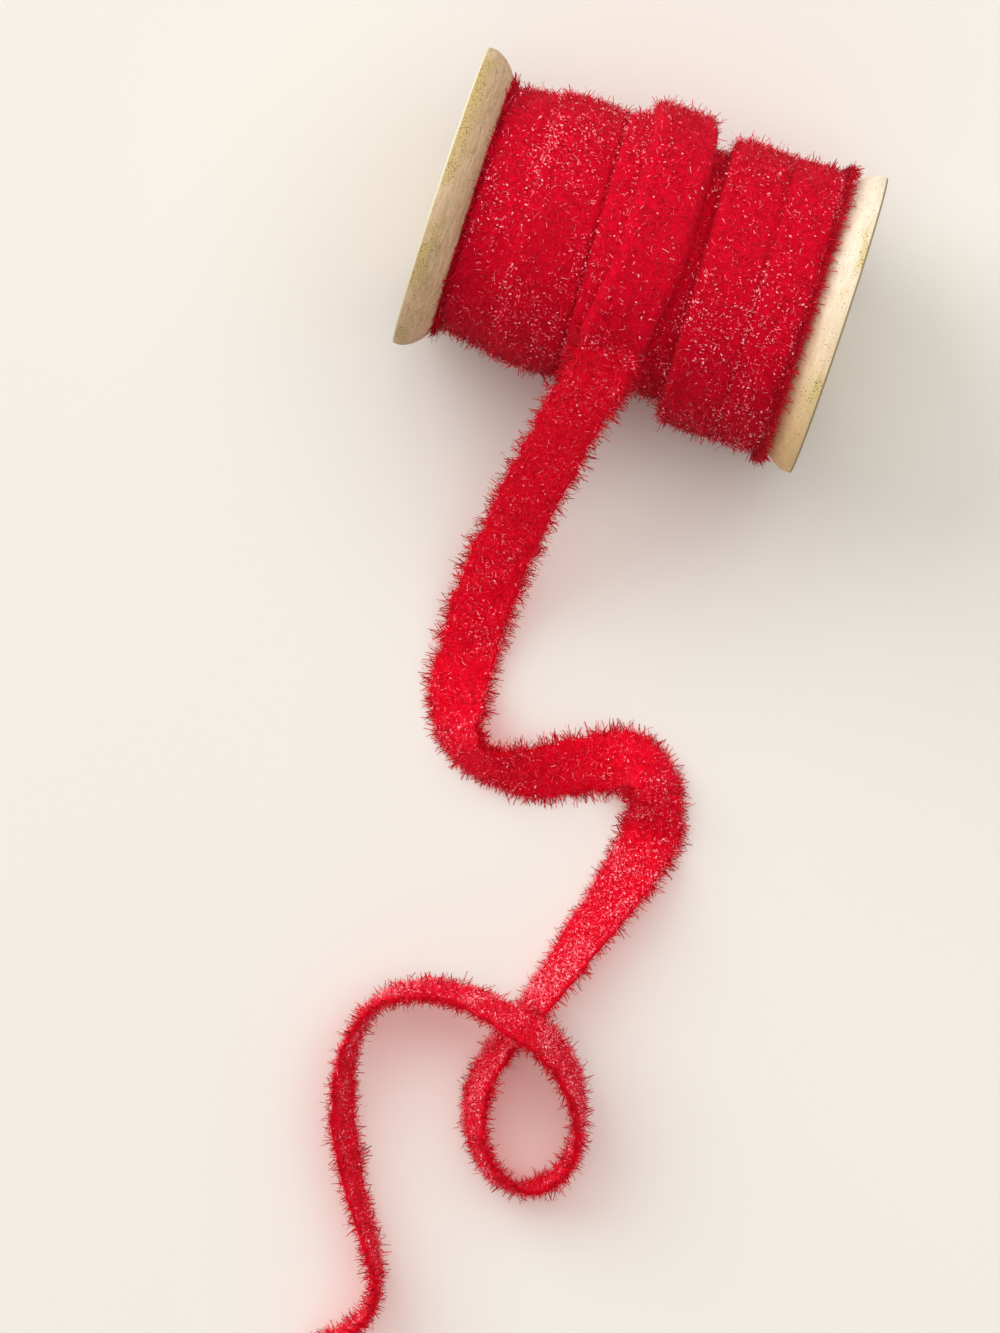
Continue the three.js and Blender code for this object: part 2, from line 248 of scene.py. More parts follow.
@dataclass(frozen=True)
class TurnedWood:
    """Bare turned wood: streaks, cracks and golden pitted patches on the rim, with painted light and shade.

    The disc is painted paler at the back, which faces the lamps, than at the front, and a thin line round
    the rim's outer corner is painted light where that corner faces the lamps and shade where it turns from
    them.

    A range of lengths runs from where a mark starts to where it is full, inwards from the outer face or
    the rim. The scales are those of the noise that each mark comes from.
    """

    name: str
    side: Side
    # back and front are painted light and shade: the colour at the back, which faces the lamps, and at the
    # front, which lies in their shade
    back: Colour
    front: Colour
    gold: Colour
    # edge colours a thin line round the rim's outer corner: painted light on the left disc, whose corner
    # faces the lamps, and painted shade on the right disc, whose corner turns from them
    edge: Colour
    gold_from: float
    streak_depth: float
    crack_depth: float
    pit: Colour = (0.20, 0.13, 0.04)
    crack: Colour = (0.24, 0.15, 0.07)
    radius: float = 31.0
    outer: float = 42.0
    grain_turn: float = 24.0
    grain_stretch: Triple = (1.0, 0.12, 0.3)
    grain_channels: Triple = (0.75, 0.9, 1.2)
    band_scale: float = 420.0
    streak_scale: float = 2100.0
    gold_scale: float = 190.0
    gold_stretch: Triple = (1.0, 0.35, 0.35)
    gold_fade: float = 0.12
    gold_outside: Range = (4.5, 1.5)
    gold_on_rim: Range = (2.5, 0.5)
    pore_scale: float = 3600.0
    pore_share: float = 0.3
    gold_pore_share: float = 0.1
    crack_scale: float = 330.0
    crack_stretch: Triple = (1.0, 0.05, 0.1)
    crack_at: Triple = (0.60, 0.61, 0.62)
    corner_line_width: float = 0.45
    corner_line_fade: float = 0.1
    corner_line_on_rim: Range = (0.6, 0.2)

    def along_axle(self, shader: Shader, place: Socket, start: float, full: float) -> Socket:
        """Share from 0 to 1 between two distances inwards from the outer face.

        Args:
            shader: the material in the making.
            place: where along the axle, in metres.
            start: the distance where it is 0, in millimetres.
            full: the distance where it is 1.

        Returns:
            The share's socket.
        """
        sign = self.side.value
        near, far = (CENTRE[0] * MM + sign * (self.outer - length) * MM for length in (start, full))
        return shader.share(place, near, far)

    def near_rim(self, shader: Shader, distance: Socket, band: Range) -> Socket:
        """Share from 0 to 1 over a band of distances inwards from the rim."""
        return shader.share(distance, (self.radius - band[0]) * MM, (self.radius - band[1]) * MM)

    def material(self) -> Material:
        """Builds the finish."""
        shader = Shader(self.name)
        turn = self.side.value * self.grain_turn
        plain = shader.mapped((0.0, 0.0, 0.0), (1.0, 1.0, 1.0))
        split = shader.node("SeparateXYZ", {"Vector": plain})
        distance = shader.distance_from_axle(plain)

        # Painted light and shade: the colour runs from the shaded front to the lit back of the disc
        middle, reach = CENTRE[1] * MM, self.radius * MM
        depth = shader.share(split.outputs["Y"], middle - reach, middle + reach)
        colour = shader.ramp(depth, [(0.1, self.front), (0.65, self.back)])
        along = shader.mapped((0.0, 0.0, turn), self.grain_stretch)
        bands = shader.noise(along, self.band_scale, 2.0, 0.8)
        streaks = shader.noise(along, self.streak_scale, 4.0)
        low = tuple(1.0 - self.streak_depth * part for part in self.grain_channels)
        white = (1.0, 1.0, 1.0)
        colour = shader.blend("MULTIPLY", 1.0, colour, shader.ramp(streaks, [(0.36, low), (0.6, white)]))
        colour = shader.blend("MULTIPLY", 0.6, colour, shader.ramp(bands, [(0.35, low), (0.6, white)]))

        outside = self.along_axle(shader, split.outputs["X"], *self.gold_outside)
        spots = shader.noise(shader.mapped((0.0, 0.0, 0.0), self.gold_stretch), self.gold_scale, 2.0)
        patches = shader.share(spots, self.gold_from, self.gold_from + self.gold_fade)
        golden = shader.maths("MULTIPLY", patches, outside)
        golden = shader.maths("MULTIPLY", golden, self.near_rim(shader, distance, self.gold_on_rim))
        colour = shader.blend("MIX", golden, colour, (*self.gold, 1.0))
        pores = shader.noise(plain, self.pore_scale, 1.0)
        pitted = shader.maths("MULTIPLY_ADD", golden, self.gold_pore_share, self.pore_share)
        pits = shader.maths("LESS_THAN", pores, pitted)
        colour = shader.blend("MIX", pits, colour, (*self.pit, 1.0))

        lines = shader.noise(shader.mapped((0.0, 0.0, turn / 3), self.crack_stretch), self.crack_scale)
        depths = (0.0, self.crack_depth, 0.0)
        cracked = shader.ramp(lines, [(place, (part,) * 3) for place, part in zip(self.crack_at, depths)])
        cracked = shader.maths("MULTIPLY", cracked, shader.maths("SUBTRACT", 1.0, outside))
        colour = shader.blend("MIX", cracked, colour, (*self.crack, 1.0))

        # Painted light and shade: a thin line in the edge colour round the rim's outer corner
        corner_line_full = self.corner_line_width - self.corner_line_fade
        painted_corner_line = self.along_axle(shader, split.outputs["X"], self.corner_line_width, corner_line_full)
        painted_corner_line = shader.maths("MULTIPLY", painted_corner_line, self.near_rim(shader, distance, self.corner_line_on_rim))
        colour = shader.blend("MIX", painted_corner_line, colour, (*self.edge, 1.0))
        shader.set(Base_Color=colour, Roughness=0.72, Specular_IOR_Level=0.3)
        shader.bump(shader.blend("MIX", 0.5, streaks, pores), 0.5, 0.15 * MM)
        return shader.material


@dataclass(frozen=True)
class WovenGround:
    """The ribbon's woven ground with its shortest fibres, seen between the lashes."""

    name: str = "ribbon_ground"
    single: bool = False
    deep: Colour = (0.50, 0.001, 0.012)
    bright: Colour = (0.86, 0.002, 0.028)
    fibre_scale: float = 2600.0
    tuft_scale: float = 700.0
    glow: Colour = (1.0, 0.05, 0.08)
    glow_depth: float = 1.2
    tint: Colour = (0.87, 0.5, 0.52)

    def material(self) -> Material:
        """Builds the finish."""
        shader = Shader(self.name)
        place = shader.mapped((0.0, 0.0, 0.0), (1.0, 1.0, 1.0))
        fibres = shader.noise(place, self.fibre_scale, 2.0, 1.5)
        tufts = shader.noise(place, self.tuft_scale, 3.0)
        mixed = shader.blend("MIX", 0.4, fibres, tufts)
        shader.set(
            Base_Color=shader.ramp(mixed, [(0.35, self.deep), (0.6, self.bright)]), Roughness=0.8,
            Specular_IOR_Level=0.04, Sheen_Weight=0.2, Sheen_Roughness=0.4,
            Sheen_Tint=(1.0, 0.12, 0.18, 1.0),
        )
        shader.bump(fibres, 0.8, 0.3 * MM)
        if self.single:
            shader.set(
                Subsurface_Weight=1.0, Subsurface_Radius=self.glow, Subsurface_Scale=self.glow_depth * MM,
            )
            shader.let_through(self.tint)
        return shader.material


@dataclass(frozen=True)
class TinselFilm:
    """Thin dyed film, cut into lashes. Each lash has a tone of its own, from dark to pale."""

    name: str
    roughness: float = 0.45
    gloss: float = 0.1
    clear: bool = False
    tint: Colour = (0.95, 0.67, 0.69)
    stops: tuple[tuple[float, Colour], ...] = (
        (0.0, (0.16, 0.001, 0.010)),
        (0.3, (0.52, 0.001, 0.012)),
        (0.6, (0.93, 0.003, 0.030)),
        # The top stops, pink to near white, are painted glints: reflections of the lamps put into the
        # palest lashes' colour
        (0.85, (1.00, 0.10, 0.18)),
        (1.0, (1.00, 0.50, 0.58)),
    )

    def material(self) -> Material:
        """Builds the finish."""
        shader = Shader(self.name)
        tone = shader.node("Attribute", attribute_name="tone").outputs["Fac"]
        shader.set(
            Base_Color=shader.ramp(tone, list(self.stops)), Roughness=self.roughness,
            Specular_IOR_Level=self.gloss,
        )
        if self.clear:
            shader.let_through(self.tint)
        return shader.material


@dataclass(frozen=True)
class PaintedTable:
    """A plain pale table top."""

    name: str = "table_top"
    colour: Colour = (0.83, 0.81, 0.765)

    def material(self) -> Material:
        """Builds the finish."""
        shader = Shader(self.name)
        shader.set(Base_Color=(*self.colour, 1.0), Roughness=0.65, Specular_IOR_Level=0.25)
        return shader.material


def add_piece(name: str, mesh: bpy.types.Mesh, material: Material) -> Piece:
    """Makes a mesh a piece of the object.

    Args:
        name: the piece's name.
        mesh: its mesh, in place.
        material: its finish.

    Returns:
        The piece.
    """
    mesh.materials.append(material)
    piece = bpy.data.objects.new(name, mesh)
    bpy.context.scene.collection.objects.link(piece)
    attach(piece, BODY)
    LOG.info("%s: %d triangles", name, sum(len(face.vertices) - 2 for face in mesh.polygons))
    return piece


def finished_mesh(name: str, shape: bmesh.types.BMesh) -> bpy.types.Mesh:
    """Turns a bmesh into a smooth mesh and frees it.

    Args:
        name: the mesh's name.
        shape: the bmesh.

    Returns:
        The mesh.
    """
    for face in shape.faces:
        face.smooth = True
    mesh = bpy.data.meshes.new(name)
    shape.to_mesh(mesh)
    shape.free()
    return mesh


def smooth_through(rows: Array, shares: Array) -> Array:
    """Centripetal Catmull-Rom curve through the rows of a table.

    Args:
        rows: the rows, one a line.
        shares: how far along the rows to read it, each from 0 to 1.

    Returns:
        The curve's values, a line for each share.
    """
    padded = np.vstack([2 * rows[0] - rows[1], rows, 2 * rows[-1] - rows[-2]])
    place = np.clip(shares, 0.0, 1.0) * (len(rows) - 1)
    cell = np.minimum(place.astype(int), len(rows) - 2)
    along = (place - cell)[:, None]
    p0, p1, p2, p3 = (padded[cell + step] for step in range(4))
    gap0, gap1, gap2 = (
        np.sqrt(np.linalg.norm(b - a, axis=1))[:, None] for a, b in ((p0, p1), (p1, p2), (p2, p3))
    )
    start = ((p1 - p0) / gap0 - (p2 - p0) / (gap0 + gap1) + (p2 - p1) / gap1) * gap1
    end = ((p2 - p1) / gap1 - (p3 - p1) / (gap1 + gap2) + (p3 - p2) / gap2) * gap1
    square = -3 * p1 + 3 * p2 - 2 * start - end
    cube = 2 * p1 - 2 * p2 + start + end
    return p1 + along * (start + along * (square + along * cube))


LEAST_LENGTH = 1e-12


def unit(vectors: Array) -> Array:
    """Vectors brought to length 1."""
    return vectors / np.maximum(np.linalg.norm(vectors, axis=-1, keepdims=True), LEAST_LENGTH)


@dataclass
class Skin:
    """A bent sheet that lashes grow from, as a grid of places and of outward directions."""

    places: Array
    outward: Array

    @classmethod
    def from_grid(cls, places: Array, flip: bool = False) -> "Skin":
        """Works the outward directions out from the grid's own slopes."""
        outward = unit(np.cross(np.gradient(places, axis=0), np.gradient(places, axis=1)))
        return cls(places, -outward if flip else outward)

    def cell_areas(self) -> Array:
        """Area of each cell of the grid."""
        p = self.places
        diagonals = np.cross(p[1:, 1:] - p[:-1, :-1], p[1:, :-1] - p[:-1, 1:])
        return np.linalg.norm(diagonals, axis=-1) / 2

    def scatter(self, count: int, rng: Chance, favour: Array | None = None) -> "Roots":
        """Spreads roots evenly over the sheet's area.

        Args:
            count: how many.
            rng: where the chance comes from.
            favour: how much each cell is favoured, or nothing for evenly.

        Returns:
            The roots.
        """
        areas = self.cell_areas() * (1.0 if favour is None else favour)
        chosen = rng.choice(areas.size, count, p=areas.ravel() / areas.sum())
        row, column = np.unravel_index(chosen, areas.shape)
        return self.at(row + rng.random(count), column + rng.random(count))

    def at(self, row: Array, column: Array) -> "Roots":
        """Roots at the given fractional rows and columns.

        Args:
            row: where down the grid.
            column: where across it.

        Returns:
            The roots.
        """
        r = np.clip(row.astype(int), 0, self.places.shape[0] - 2)
        c = np.clip(column.astype(int), 0, self.places.shape[1] - 2)
        down, over = (row - r)[:, None], (column - c)[:, None]

        def read(grid: Array) -> Array:
            """A grid's values there, blended between its four nearest."""
            near = grid[r, c] * (1 - over) + grid[r, c + 1] * over
            far = grid[r + 1, c] * (1 - over) + grid[r + 1, c + 1] * over
            return near * (1 - down) + far * down

        return Roots(read(self.places), unit(read(self.outward)))


DRIFT_DEPTH = 0.6
LEAST_DRIFT = 0.2
DRIFT_POWER = 1.5


def drifts(shape: tuple[int, int], reach: tuple[int, int], rng: Chance) -> Array:
    """A field of soft random patches, round 1.

    Args:
        shape: its rows and columns.
        reach: how far a patch reaches, in rows and columns.
        rng: where the chance comes from.

    Returns:
        The field.
    """
    patches = rng.normal(size=shape)
    for axis, size in enumerate(reach):
        for _ in range(size * size):
            patches = (np.roll(patches, 1, axis) + 2 * patches + np.roll(patches, -1, axis)) / 4
    return np.clip(1 + DRIFT_DEPTH * patches / patches.std(), LEAST_DRIFT, None) ** DRIFT_POWER


@dataclass
class Roots:
    """Where lashes start and which way is out of the cloth there."""

    places: Array
    outward: Array


@dataclass(frozen=True)
class LashKind:
    """How one kind of lash is cut and set.

    Lengths are millimetres and angles degrees, and tone runs from 0, dark, to 1, pale. hold says how far a
    lash takes the light as the cloth under it does, and taper how wide a bent one ends. painted_glint_share
    of the lashes take painted_glint_tone in its place, pale: painted glints.
    """

    length: Range
    width: Range
    spread: Range
    tone: Range
    lift: Range = (0.0, 0.0)
    twist: Range = (25.0, 80.0)
    bend: float = 0.0
    painted_glint_share: float = 0.0
    painted_glint_tone: Range = (0.75, 1.0)
    hold: float = 0.5
    taper: float = 0.7


FINE = LashKind(
    length=(0.7, 1.6), width=(0.06, 0.12), spread=(30.0, 85.0), tone=(0.32, 0.68), painted_glint_share=0.05,
)
# WOUND is FINE a little darker, painted shade over the roll, and LOOSE a little lighter, painted light on
# the loose end
WOUND = replace(FINE, tone=(0.28, 0.66), hold=0.8)
LOOSE = replace(FINE, tone=(0.36, 0.72))
# FRINGE, EDGE and LONG take darker tones than the pile: painted shade on the fringe and on the lashes that
# stand out
FRINGE = replace(FINE, spread=(20.0, 90.0), tone=(0.24, 0.58), hold=0.1)
EDGE = LashKind(
    length=(1.6, 3.4), width=(0.13, 0.24), spread=(0.0, 60.0), tone=(0.10, 0.42), bend=28.0, hold=0.2,
)
# PALE_GLINT and GLINT lashes take pale tones: painted glints, reflections of the lamps put into their
# colour
PALE_GLINT = LashKind(
    length=(0.4, 1.2), width=(0.07, 0.14), spread=(40.0, 88.0), tone=(0.62, 0.90), lift=(0.1, 0.5),
    hold=0.3,
)
GLINT = LashKind(
    length=(0.12, 0.60), width=(0.10, 0.32), spread=(55.0, 95.0), tone=(0.68, 1.0), lift=(0.5, 1.1),
    twist=(8.0, 30.0), hold=0.4,
)
LONG = LashKind(length=(1.4, 3.0), width=(0.13, 0.22), spread=(0.0, 62.0), tone=(0.18, 0.52), bend=28.0)

# A lash is a strip from a bottom edge to a top edge that is turned against it, closed in four faces
STRIP_FACES = np.array([[0, 1, 2], [0, 3, 1], [0, 2, 3], [1, 3, 2]])
FLOOR_CLEARANCE = 0.08
ON_CIRCLE = 0.01


class Pile:
    """A piece made of many lashes."""

    def __init__(self, name: str) -> None:
        """Starts an empty pile.

        Args:
            name: the piece's name.
        """
        self.name = name
        self.corners: list[Array] = []
        self.tones: list[Array] = []
        self.naps: list[Array] = []

    def sow(self, roots: Roots, kind: LashKind, rng: Chance) -> None:
        """Sets a lash of the given kind on each root.

        Args:
            roots: where they go.
            kind: how they are cut and set.
            rng: where the chance comes from.
        """
        count = len(roots.places)
        swing = unit(np.cross(roots.outward, rng.normal(size=(count, 3))))
        tilt = np.radians(rng.uniform(*kind.spread, count))[:, None]
        ahead = np.cos(tilt) * roots.outward + np.sin(tilt) * swing
        start = roots.places + rng.uniform(*kind.lift, count)[:, None] * roots.outward
        length = rng.uniform(*kind.length, count)[:, None]
        width = rng.uniform(*kind.width, count)[:, None]
        tone = rng.uniform(*kind.tone, count)
        # A share of the lashes takes a pale tone: painted glints
        pale = rng.random(count) < kind.painted_glint_share
        tone = np.where(pale, rng.uniform(*kind.painted_glint_tone, count), tone)
        across = unit(np.cross(ahead, rng.normal(size=(count, 3))))
        turn = np.radians(rng.uniform(*kind.twist, count))[:, None]
        nap = np.repeat(np.hstack([roots.outward, np.full((count, 1), kind.hold)]), 4, axis=0)
        self.naps.extend([nap] if not kind.bend else [nap, nap])
        if not kind.bend:
            self.add_strips(start, start + length * ahead, across, turn, width, width, tone)
            return
        middle = start + length * ahead / 2
        bend = np.radians(rng.uniform(0.0, kind.bend, count))[:, None]
        onward = np.cos(bend) * ahead + np.sin(bend) * unit(np.cross(across, ahead))
        self.add_strips(start, middle, across, turn / 2, width, width, tone)
        end = middle + length * onward / 2
        self.add_strips(middle, end, across, turn / 2, width, kind.taper * width, tone)

    def add_strips(
        self, start: Array, end: Array, across: Array, turn: Array, start_width: Array, end_width: Array,
        tone: Array,
    ) -> None:
        """Adds one closed strip for each start.

        Args:
            start: where each starts.
            end: where each ends.
            across: the direction of each one's bottom edge.
            turn: how far its top edge is turned against the bottom one, in radians.
            start_width: length of the bottom edge.
            end_width: length of the top edge.
            tone: the lash's tone.
        """
        ahead = unit(end - start)
        turned = np.cos(turn) * across + np.sin(turn) * np.cross(ahead, across)
        corners = np.stack(
            [
                start - across * start_width / 2, start + across * start_width / 2,
                end - turned * end_width / 2, end + turned * end_width / 2,
            ],
            axis=1,
        )
        self.corners.append(corners)
        self.tones.append(np.repeat(tone, 4))

    def build(self, material: Material) -> Piece:
        """Makes the piece, with no lash below the floor.

        Args:
            material: its finish.

        Returns:
            The piece.
        """
        corners = np.concatenate(self.corners)
        corners[..., 2] = np.maximum(corners[..., 2], FLOOR_CLEARANCE)
        points = in_frame(corners.reshape(-1, 3))
        first = np.arange(len(corners))[:, None, None] * 4
        faces = (first + STRIP_FACES[None]).reshape(-1, 3)
        mesh = bpy.data.meshes.new(self.name)
        mesh.vertices.add(len(points))
        mesh.vertices.foreach_set("co", points.astype(np.float32).ravel())
        mesh.loops.add(faces.size)
        mesh.loops.foreach_set("vertex_index", faces.astype(np.int32).ravel())
        mesh.polygons.add(len(faces))
        mesh.polygons.foreach_set("loop_start", np.arange(0, faces.size, 3, dtype=np.int32))
        mesh.update(calc_edges=True)
        tone = mesh.attributes.new("tone", "FLOAT", "POINT")
        tone.data.foreach_set("value", np.concatenate(self.tones).astype(np.float32))
        facing = np.empty(faces.size, dtype=np.float32)
        mesh.polygons.foreach_get("normal", facing)
        facets = np.repeat(facing.reshape(-1, 3), 3, axis=0)
        nap, hold = np.split(np.concatenate(self.naps)[faces.ravel()], [3], axis=1)
        mesh.polygons.foreach_set("use_smooth", np.ones(len(faces), dtype=bool))
        mesh.normals_split_custom_set(unit(facets + hold * (nap - facets)))
        return add_piece(self.name, mesh, material)


@dataclass
class Flange:
    """One turned end disc: flat outside, with a small corner, a rounded inner edge and a socket."""

    side: Side
    length: float = 84.0
    radius: float = 31.0
    thickness: float = 7.0
    rounding: float = 5.5
    flatness: float = 1.3
    corner: float = 0.3
    corner_segments: int = 3
    bore: float = 4.0
    socket_radius: float = 11.3
    socket_depth: float = 3.3
    steps: int = 192
    rounding_steps: int = 12

    def profile(self) -> list[tuple[float, float]]:
        """Points of the disc's outline, as distance from the spool's middle and radius."""
        outer = self.length / 2
        inner = outer - self.thickness
        arc = [math.pi / 2 * step / self.rounding_steps for step in range(self.rounding_steps + 1)]
        rounded = [
            (
                inner + self.rounding * (1 - math.sin(turn) ** self.flatness),
                self.radius - self.rounding * (1 - math.cos(turn) ** self.flatness),
            )
            for turn in arc
        ]
        floor = inner + self.socket_depth
        return [
            (outer, self.bore), (outer, self.radius), *rounded,
            (inner, self.socket_radius), (floor, self.socket_radius), (floor, self.bore),
        ]

    def build(self, finish: TurnedWood, slot: Slot, node: str) -> Piece:
        """Spins the outline about the axle, eases the corners and stands the disc on the floor.

        Args:
            finish: its wood.
            slot: the record's slot for it; not used.
            node: the solid that it stands for.

        Returns:
            The piece.
        """
        shape = bmesh.new()
        sign = self.side.value
        verts = [shape.verts.new((sign * x, -radius, 0.0)) for x, radius in self.profile()]
        edges = [shape.edges.new((a, b)) for a, b in zip(verts, verts[1:] + verts[:1])]
        bmesh.ops.spin(
            shape, geom=[*verts, *edges], cent=(0, 0, 0), axis=(1, 0, 0), angle=math.tau,
            steps=self.steps, use_merge=True,
        )
        outer = self.length / 2
        rim = [edge for edge in shape.edges if self.on_circle(edge, outer, self.radius)]
        hole = [edge for edge in shape.edges if self.on_circle(edge, outer, self.bore)]
        bmesh.ops.bevel(
            shape, geom=[*rim, *hole], offset=self.corner, affect="EDGES", segments=self.corner_segments,
            profile=0.5, material=-1,
        )
        bmesh.ops.recalc_face_normals(shape, faces=shape.faces)
        places = np.array([vert.co for vert in shape.verts])
        places[:, 2] = np.maximum(places[:, 2] + AXLE_HEIGHT, 0.0)
        for vert, place in zip(shape.verts, in_frame(places)):
            vert.co = place
        piece = add_piece(node + "_turned", finished_mesh(node + "_turned", shape), finish.material())
        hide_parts(node)
        return piece

    def on_circle(self, edge: bmesh.types.BMEdge, distance: float, radius: float) -> bool:
        """Whether an edge runs round the axle at that distance from the middle and that radius.

        Args:
            edge: the edge.
            distance: how far from the spool's middle, along the axle.
            radius: how far from the axle.

        Returns:
            Whether it does.
        """
        return all(
            math.hypot(abs(vert.co.x) - distance, math.hypot(vert.co.y, vert.co.z) - radius) < ON_CIRCLE
            for vert in edge.verts
        )


class WoundLine(NamedTuple):
    """A line that runs round the roll. See Winding for what the columns do."""

    x: float
    radius: float
    lean: float = 0.0
    last: float = 0.0
    shift: float = 0.0


class TurnStation(NamedTuple):
    """How the raised last turn stands at one angle."""

    angle: float
    radius: float
    shift: float


WOUND_LINES = [WoundLine(*row) for row in (
    (-34.6, 22.0),
    (-34.6, 25.8),
    (-31.0, 26.3, 0.2),
    (-27.5, 26.9, 0.5),
    (-24.0, 27.3, 0.7),
    (-23.3, 28.2, 0.7),
    (-19.0, 28.4, 0.8),
    (-14.5, 28.4, 0.9),
    (-10.7, 28.1, 1.0),
    (-10.1, 26.9, 1.0),
    (-9.5, 28.5, 1.0),
    (-7.2, 28.9, 0.6),
    (-4.9, 28.9, 0.0, 0.0, 1.0),
    (-4.3, 28.8, 0.0, 0.8, 1.0),
    (-3.3, 28.7, 0.0, 1.0, 1.0),
    (2.0, 28.4, 0.0, 1.0, 1.0),
    (3.5, 26.4, 0.0, 1.0, 1.0),
    (7.3, 26.2, 0.0, 1.0, 1.0),
    (8.2, 26.2, 0.0, 0.85, 1.0),
    (8.8, 26.2, 0.0, 0.0, 1.0),
    (11.4, 26.3, 1.0),
    (12.0, 29.4, 1.0),
    (13.2, 30.0, 1.0),
    (18.5, 30.2, 0.9),
    (23.3, 30.0, 0.8),
    (24.0, 29.2, 0.8),
    (24.7, 30.0, 0.7),
    (30.5, 30.3, 0.3),
    (34.9, 30.0),
    (35.2, 28.6),
    (34.6, 25.0),
    (34.6, 22.0),
)]

LAST_TURN = [TurnStation(*row) for row in (
    (50, 32.0, -2.0),
    (90, 32.0, 0.0),
    (135, 32.2, -0.6),
    (180, 32.3, -2.0),
    (225, 31.6, -2.6),
    (270, 30.4, -3.2),
    (320, 29.8, -3.2),
    (350, 29.2, -3.0),
    (410, 28.7, -2.0),
)]


@dataclass
class Winding:
    """The ribbon as wound: bands side by side, a trough, and the raised last turn.

    Each line of WOUND_LINES runs round the roll at its x and radius. lean takes it forward at the front and
    back at the back, last says how far the last turn covers it, and shift moves it sideways with that turn.
    Each of wavers is a wave round the roll, by its waves in a turn and how far it drifts along X.
    """

    departure: float = 50.0
    butt: float = 0.2
    wedge_radius: float = 31.55
    wedge_slope: float = 0.33
    turn_step: float = 2.5
    line_step: float = 0.8
    pile_depth: float = 1.15
    floor_clearance: float = 0.5
    waver: float = 0.22
    wavers: tuple[Range, ...] = ((3, 0.35), (7, -0.8), (13, 0.5))
    core_radius: float = 11.3
    core_half_length: float = 34.7
    least_height: float = 1e-6
    least_facing: float = 0.3
    sparkling_edges: tuple[float, ...] = (-23.3, -9.8, -4.6, 12.2, 34.0)
    edge_reach: float = 0.8
    edge_gain: float = 3.0
    last_turn_loss: float = 0.6
    sparkle_reach: tuple[int, int] = (4, 4)
    end_depth: float = 0.4
    end_distance: float = 34.0
    end_ragged: float = 0.4
    end_lean: float = 1.5
    pile_count: int = 27000
    stray_count: int = 3200
    end_stray_count: int = 3000
    end_pile_count: int = 9000
    glint_count: int = 8000

    def angles(self) -> Array:
        """Angles round the roll from the front over the top, closed, with the last turn's end steep."""
        even = np.arange(0.0, 360.0 + self.turn_step / 2, self.turn_step)
        kept = even[np.abs(even - self.departure) > self.butt]
        return np.sort(np.append(kept, [self.departure - self.butt, self.departure + self.butt]))

    def fine_lines(self) -> Array:
        """WOUND_LINES with lines between them, about line_step apart, as an array."""
        rows = np.array(WOUND_LINES)
        fine = [rows[:1]]
        for near, far in zip(rows, rows[1:]):
            parts = max(1, round(math.dist(near[:2], far[:2]) / self.line_step))
            share = np.linspace(0, 1, parts + 1)[1:, None]
            fine.append(near + (far - near) * share)
        return np.vstack(fine)

    def last_turn(self, angles: Array) -> tuple[Array, Array]:
        """Radius and sideways shift of the last turn at each angle.

        Args:
            angles: degrees round the roll.

        Returns:
            The radii and the shifts.
        """
        table = np.array(LAST_TURN)
        turn = np.where(angles < self.departure, angles + 360.0, angles)
        after = np.clip(np.searchsorted(table[:, 0], turn), 1, len(table) - 1)
        near, far = table[after - 1], table[after]
        share = np.clip((turn - near[:, 0]) / (far[:, 0] - near[:, 0]), 0, 1)
        share = (share * share * (3 - 2 * share))[:, None]
        value = near + (far - near) * share
        wedge = self.wedge_radius - self.wedge_slope * (self.departure - angles)
        radius = np.where(angles < self.departure, np.maximum(value[:, 1], wedge), value[:, 1])
        return radius, value[:, 2]

    def form(self, sunk: float) -> Array:
        """Grid of places on the roll, angles by lines, sunk under its outer form.

        Args:
            sunk: how far, in millimetres.

        Returns:
            The places.
        """
        angles = self.angles()
        lines = self.fine_lines()
        turn_radius, turn_shift = self.last_turn(angles)
        around = np.radians(angles)[:, None]
        x, radius, lean, last, shift = (lines[None, :, column] for column in range(5))
        radius = radius + last * np.maximum(0, turn_radius[:, None] - radius)
        x = x + lean * np.cos(around) + shift * turn_shift[:, None]
        uneven = sum(np.sin(waves * around + x * drift) for waves, drift in self.wavers)
        radius = radius - sunk + self.waver * uneven / len(self.wavers)
        height = np.sin(around) * np.ones_like(x)
        room = AXLE_HEIGHT - self.floor_clearance
        limit = np.where(height < 0, room / np.maximum(-height, self.least_height), np.inf)
        radius = np.minimum(radius, limit)
        return np.stack([x, -radius * np.cos(around), AXLE_HEIGHT + radius * np.sin(around)], axis=-1)

    def skin(self) -> Skin:
        """The ground's outer side."""
        return Skin.from_grid(self.form(self.pile_depth), flip=True)

    def openness(self, skin: Skin) -> Array:
        """How far each cell of the skin faces away from the axle, from 0 on the bands' side walls to 1.

        Args:
            skin: the roll's skin.

        Returns:
            The shares, squared, a value for each cell.
        """
        outward = (skin.outward[1:, 1:] + skin.outward[:-1, :-1]) / 2
        around = np.radians(self.angles())
        middle = ((around[1:] + around[:-1]) / 2)[:, None]
        facing = -outward[..., 1] * np.cos(middle) + outward[..., 2] * np.sin(middle)
        return np.clip(facing, self.least_facing, 1.0) ** 2

